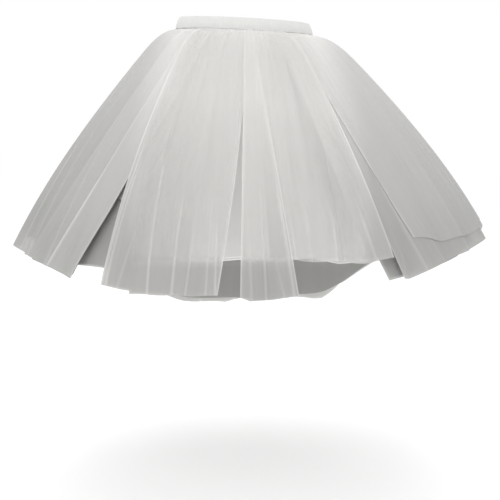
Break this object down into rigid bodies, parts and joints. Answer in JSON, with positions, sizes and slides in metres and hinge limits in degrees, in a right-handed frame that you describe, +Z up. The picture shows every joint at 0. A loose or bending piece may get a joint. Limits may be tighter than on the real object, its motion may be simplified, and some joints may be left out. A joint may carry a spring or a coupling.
{
  "type": "tutu skirt",
  "caption": "Knee-length white tulle tutu skirt, standing open as worn, with free-edged tulle panels over a satin lining and a plain elastic waistband.",
  "frame": {"origin": "the middle of the waist opening, half way up the waistband, where a waist holds the skirt", "axes": "+Z up the wearer's body, the centre front of the skirt at -Y, +X to the right as seen from the front"},
  "size_m": [1.0614, 0.6949, 0.7043],
  "materials": {
    "tulle": "matt white nylon net, stiffened, in loose layers",
    "lining": "soft white satin with a narrow stitched hem",
    "waistband": "plain white elastic casing"
  },
  "bodies": {
    "root": {"waistband": "waistband", "lining": "lining", "tulle_under_right": "tulle", "tulle_under_back": "tulle", "tulle_under_left": "tulle", "tulle_left": "tulle", "tulle_front_left": "tulle", "tulle_front": "tulle", "tulle_front_right": "tulle", "tulle_right": "tulle", "tulle_back_right": "tulle", "tulle_back_left": "tulle"}
  },
  "joints": []
}
